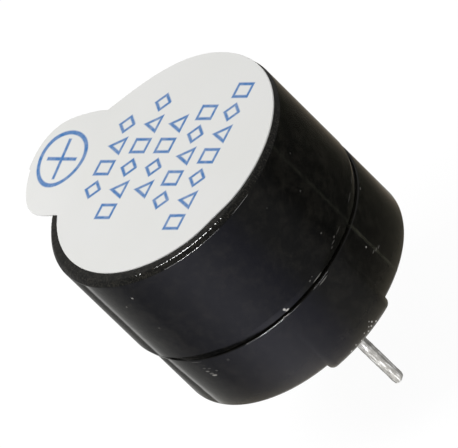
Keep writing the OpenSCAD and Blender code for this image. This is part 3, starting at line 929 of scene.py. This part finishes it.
def grainy(name, code, roughness, grain):
    """Moulded, sintered or coated solid: a dull surface speckled by grains of one width in millimetres."""
    material, tree, shader = new_material(name, IOR=1.5)
    place = add(tree, "TexCoord").outputs["Object"]
    grains = add(tree, "TexNoise", {"Vector": place, "Scale": per_mm(grain), "Detail": 4.0})
    base = np.array(linear(code))
    dark = opaque(base * 0.7)
    light = opaque(base * 1.15)
    tone = add(tree, "Mix", {"Factor": grains, 6: dark, 7: light}, data_type="RGBA")
    spread = 0.08
    dull = add(tree, "MapRange", {
        "Value": grains, "To Min": roughness - spread, "To Max": roughness + spread})
    connect(tree, shader, {"Base Color": tone.outputs[2], "Roughness": dull})
    return material


# Finishes of the hidden pieces: how it is made, its name, colour, roughness and grain width in millimetres,
# and the pieces that have it
INSIDE_FINISHES = (
    (rolled_metal, "Plated iron", "#9a9da1", 0.35, 0.15, ("armature_disc", "pole_core", "yoke_plate")),
    (rolled_metal, "Solder", "#c8cacb", 0.25, 0.3, ("lead_solder", "pin_solder")),
    (rolled_metal, "Spring steel", "#b9bcc0", 0.28, 0.1, ("diaphragm",)),
    (rolled_metal, "Enamelled copper", "#b5652d", 0.3, 0.12, ("coil_winding",)),
    (grainy, "Moulded package", "#2a2a2c", 0.55, 0.08, ("transistor", "resistor")),
    (grainy, "Bonded ferrite", "#3a3a3d", 0.7, 0.1, ("magnet_ring",)),
    (grainy, "Solder mask", "#2f6b3a", 0.4, 0.2, ("circuit_board",)),
)


class BUZZER_OT_insides(bpy.types.Operator):
    """Finish the sealed parts: diaphragm, magnet, coil, yoke, board and what is soldered to it"""

    bl_idname = "buzzer.insides"
    bl_label = "Insides"

    def execute(self, context):
        for make, *finish, nodes in INSIDE_FINISHES:
            material = make(*finish)
            for node in nodes:
                dress(node, material)
        return {"FINISHED"}


def glowing(name, strength=1.0):
    """A stage material that only shines: its tree and its emission node, white unless a colour is linked."""
    material = bpy.data.materials.new(name)
    material.use_nodes = True
    tree = material.node_tree
    tree.nodes.clear()
    shine = add(tree, "Emission", {"Strength": strength})
    add(tree, "OutputMaterial", {"Surface": shine})
    return material, tree, shine


def seen_rays(tree):
    """One for rays that come from the camera or from a mirror-like or clear surface, else zero."""
    path = add(tree, "LightPath").outputs
    mirrored = add(tree, "Math", (path["Is Camera Ray"], path["Is Glossy Ray"]), operation="MAXIMUM")
    return add(tree, "Math", (mirrored, path["Is Transmission Ray"]), operation="MAXIMUM")


def stage_object(name, points, faces, material):
    """A mesh of the stage, which is not part of the object."""
    mesh = bpy.data.meshes.new(name)
    mesh.from_pydata(np.reshape(points, (-1, 3)).tolist(), [], np.array(faces).tolist())
    mesh.materials.append(material)
    made = bpy.data.objects.new(name, mesh)
    bpy.context.collection.objects.link(made)
    return made


def reflection_only(card):
    """Keep a card out of the picture, the shadows and the soft light: only reflections show it."""
    card.visible_camera = False
    card.visible_diffuse = False
    card.visible_shadow = False
    card.visible_transmission = False
    return card


# Brightness of the table round the object as the walls mirror it, by direction: degrees from the camera's
# side, positive to the right, and an sRGB grey
TABLE_TONES = (
    (-180, "#9c9c9a"), (-170, "#939391"), (-160, "#7c7c7a"), (-152, "#686866"), (-145.5, "#6a6a68"),
    (-144, "#fffffc"), (-141.5, "#fffffc"), (-139, "#c8c8c6"), (-133, "#a6a6a4"), (-120, "#8c8c8c"),
    (-97, "#6e6e76"), (-78, "#8a8a96"), (-48, "#c0c0d0"), (-34, "#c0c0d0"), (0, "#88889a"), (18, "#777779"),
    (40, "#686868"), (58, "#343431"), (100, "#33332c"), (130, "#403f36"), (146, "#5c584e"), (160, "#7c7264"),
    (180, "#9c9c9a"),
)


class BUZZER_OT_stage(bpy.types.Operator):
    """Set the stage: white floor with a soft shadow, cards for the reflections, lamp, world and camera"""

    bl_idname = "buzzer.stage"
    bl_label = "Stage"

    def execute(self, context):
        stage = context.scene.buzzer.stage
        self.white_floor()
        self.reflection_cards(stage)
        self.softbox(stage)
        self.world(stage)
        self.camera(stage)
        context.scene.view_settings.view_transform = "Standard"
        return {"FINISHED"}

    def white_floor(self):
        """A white floor under the longer pin: shining for seen rays, softly shadowed, clear from below."""
        material = bpy.data.materials.new("White floor")
        material.use_nodes = True
        tree = material.node_tree
        tree.nodes.clear()
        board = add(tree, "BsdfDiffuse", {"Color": opaque((0.8,) * 3)})
        soft = add(tree, "BsdfDiffuse", {"Color": opaque((0.07,) * 3)})
        shine = add(tree, "Emission", {"Color": opaque((0.95,) * 3)})
        white = add(tree, "AddShader", (soft, shine))
        seen = add(tree, "MixShader", (seen_rays(tree), board, white))
        clear = add(tree, "BsdfTransparent")
        behind = add(tree, "NewGeometry").outputs["Backfacing"]
        both = add(tree, "MixShader", (behind, seen, clear))
        add(tree, "OutputMaterial", {"Surface": both})
        half = 1.0
        gap = 0.02 * MM
        z = low("positive_pin").z - gap
        corners = [(-half, -half, z), (half, -half, z), (half, half, z), (-half, half, z)]
        floor = stage_object("floor", corners, [(0, 1, 2, 3)], material)
        floor.visible_glossy = False

    def reflection_cards(self, stage):
        """What only reflections show: the surround, white cards under the pins and the windows."""
        self.surround(stage)
        self.pin_card(stage, "left_card", "negative_pin", (-118, 50), 1.0)
        self.pin_card(stage, "right_card", "negative_pin", (50, 140), 0.45)
        self.pin_card(stage, "back_card", "positive_pin", (90, 270), 0.9)
        self.window(stage, "high_window", (-88, -22), (62, 74), 70.0)
        self.window(stage, "low_window", (-43, -20), (0, 7), 200.0)
        self.window(stage, "wide_window", (-54, -3), (0, 6), 13.0)
        self.window(stage, "slit_window", (12, 30), (0, 7), 9.0)

    def surround(self, stage):
        """A sphere with table tones by direction below the horizon and a dim sky above it.

        Below a tilted plane the table lies in the object's own shadow.
        """
        span = 400 * MM
        rows = 33
        columns = 96
        shadow_tilt = (0.3, 0.1, 1.0)
        shadow_start = -0.854 * span
        shadow_end = -0.878 * span
        dusk = 0.2 * span
        material, tree, shine = glowing("Surround")
        place = add(tree, "TexCoord").outputs["Object"]
        to_camera = (0, 0, stage.azimuth)
        facing = add(tree, "Mapping", {"Vector": place, "Rotation": to_camera}, vector_type="TEXTURE")
        axes = add(tree, "SeparateXYZ", (facing,)).outputs
        round_about = add(tree, "TexGradient", (facing,), gradient_type="RADIAL").outputs["Fac"]
        ramp = add(tree, "ValToRGB", (round_about,))
        stops = ramp.color_ramp.elements
        while len(stops) < len(TABLE_TONES):
            stops.new(1.0)
        for stop, (degrees, code) in zip(stops, TABLE_TONES):
            stop.position = degrees / 360 + 0.5
            stop.color = opaque(linear(code))
        lean = add(tree, "VectorMath", (facing, shadow_tilt), operation="DOT_PRODUCT").outputs["Value"]
        lit = add(tree, "MapRange", {
            "Value": lean, "From Min": shadow_end, "From Max": shadow_start, "To Min": 0.08, "To Max": 1.0})
        table = add(tree, "VectorMath", (ramp, lit), operation="MULTIPLY")
        sky = add(tree, "MapRange", {
            "Value": axes["X"], "From Min": -span, "From Max": span, "To Min": 0.26, "To Max": 0.12})
        above = add(tree, "MapRange", {"Value": axes["Z"], "From Min": -dusk, "From Max": 0.0})
        both = add(tree, "Mix", {"Factor": above, 4: table, 5: sky}, data_type="VECTOR")
        connect(tree, shine, {"Color": both.outputs[1]})
        rise = np.linspace(-np.pi / 2, np.pi / 2, rows)[:, None]
        around = np.linspace(0, 2 * np.pi, columns, endpoint=False)
        shell = turned(span * np.cos(rise), around, span * np.sin(rise))
        quads = grid_faces(rows, columns, False).reshape(-1, 4)
        reflection_only(stage_object("surround", shell, quads, material))

    def pin_card(self, stage, name, pin, azimuths, strength):
        """A card on the floor, a sector about one pin. It lights only what is close to it."""
        radius = 10 * MM
        steps = 60
        material, tree, shine = glowing(name, strength)
        ray = add(tree, "LightPath").outputs["Ray Length"]
        far = add(tree, "MapRange", {"Value": ray, "From Min": 6.5 * MM, "From Max": 8.0 * MM})
        clear = add(tree, "BsdfTransparent")
        both = add(tree, "MixShader", (far, shine, clear))
        connect(tree, tree.nodes["Material Output"], {"Surface": both})
        centre = (low(pin) + high(pin)) / 2
        rim = turned(radius, stage.azimuth + np.radians(np.linspace(*azimuths, steps)), 0)
        fan = np.concatenate([np.zeros((1, 3)), rim]) + np.array([centre.x, centre.y, low("positive_pin").z])
        reflection_only(stage_object(name, fan, [range(steps + 1)], material))

    def window(self, stage, name, azimuths, elevations, strength):
        """A bright patch of the dome, for edge highlights.

        Its sides are given in degrees from the camera's side and over the horizon.
        """
        distance = 380 * MM
        rows = 5
        columns = 13
        across = np.radians(np.linspace(*azimuths, columns)) + stage.azimuth
        rise = np.radians(np.linspace(*elevations, rows))[:, None]
        patch = turned(distance * np.cos(rise), across, distance * np.sin(rise)) + np.array(stage.aim)
        quads = grid_faces(rows, columns, False)[:, :-1].reshape(-1, 4)
        reflection_only(stage_object(name, patch, quads, glowing(name, strength)[0]))

    def softbox(self, stage):
        """A square area lamp that faces the object, high on the left of the camera's side."""
        around = stage.azimuth + np.radians(-100)
        rise = np.radians(62)
        distance = 0.13
        data = bpy.data.lights.new("high_softbox", "AREA")
        data.shape = "RECTANGLE"
        data.size = 0.06
        data.size_y = 0.06
        data.energy = 0.1
        made = bpy.data.objects.new("high_softbox", data)
        bpy.context.collection.objects.link(made)
        way = Vector((np.cos(around) * np.cos(rise), np.sin(around) * np.cos(rise), np.sin(rise)))
        made.location = Vector(stage.aim) + way * distance
        made.rotation_euler = way.to_track_quat("Z", "Y").to_euler()
        made.visible_glossy = False

    def world(self, stage):
        """Plain white for seen rays, and an even fill for the rest."""
        world = bpy.data.worlds.new("White room")
        bpy.context.scene.world = world
        world.use_nodes = True
        tree = world.node_tree
        tree.nodes.clear()
        strength = add(tree, "MapRange", {"Value": seen_rays(tree), "To Min": stage.fill, "To Max": 1.0})
        light = add(tree, "Background", {"Color": (1, 1, 1, 1), "Strength": strength})
        add(tree, "OutputWorld", {"Surface": light})

    def camera(self, stage):
        """Look at the aim from its azimuth and elevation, then turn about the line of sight."""
        away = np.array([-np.cos(stage.azimuth), -np.sin(stage.azimuth), 0])
        level = np.array([away[1], -away[0], 0])
        up = np.array([0, 0, 1])
        sight = away * np.cos(stage.elevation) - up * np.sin(stage.elevation)
        down = -away * np.sin(stage.elevation) - up * np.cos(stage.elevation)
        right = level * np.cos(stage.roll) - down * np.sin(stage.roll)
        down = level * np.sin(stage.roll) + down * np.cos(stage.roll)
        place = np.array(stage.aim) - sight * stage.distance
        place = place - right * stage.offset[0] - down * stage.offset[1]
        data = bpy.data.cameras.new("camera")
        data.lens = stage.lens
        data.sensor_width = 36.0
        data.clip_start = 0.01
        data.clip_end = 20.0
        made = bpy.data.objects.new("camera", data)
        bpy.context.collection.objects.link(made)
        axes = np.stack([right, -down, -sight], 1)
        made.matrix_world = Matrix.Translation(Vector(place)) @ Matrix(axes.tolist()).to_4x4()
        bpy.context.scene.camera = made


class BUZZER_PT_parts(bpy.types.Panel):
    """Lists the pieces of the buzzer and its stage"""

    bl_label = "Buzzer"
    bl_space_type = "VIEW_3D"
    bl_region_type = "UI"
    bl_category = "Buzzer"

    def draw(self, context):
        for operator in OPERATORS:
            self.layout.operator(operator.bl_idname)


OPERATORS = (
    BUZZER_OT_cap, BUZZER_OT_base, BUZZER_OT_label, BUZZER_OT_pins, BUZZER_OT_resin, BUZZER_OT_insides,
    BUZZER_OT_stage,
)
CLASSES = (
    HousingSettings, LabelSettings, PinSettings, StageSettings, BuzzerSettings, *OPERATORS, BUZZER_PT_parts,
)


def register():
    """Register the classes and hang the settings on the scene."""
    for item in CLASSES:
        bpy.utils.register_class(item)
    bpy.types.Scene.buzzer = PointerProperty(type=BuzzerSettings)


def unregister():
    """Take the settings and the classes away again."""
    del bpy.types.Scene.buzzer
    for item in reversed(CLASSES):
        bpy.utils.unregister_class(item)


def main():
    """Build every piece and the stage."""
    register()
    bpy.ops.buzzer.cap()
    bpy.ops.buzzer.base()
    bpy.ops.buzzer.label()
    bpy.ops.buzzer.pins()
    bpy.ops.buzzer.resin()
    bpy.ops.buzzer.insides()
    bpy.ops.buzzer.stage()


if __name__ == "__main__":
    main()
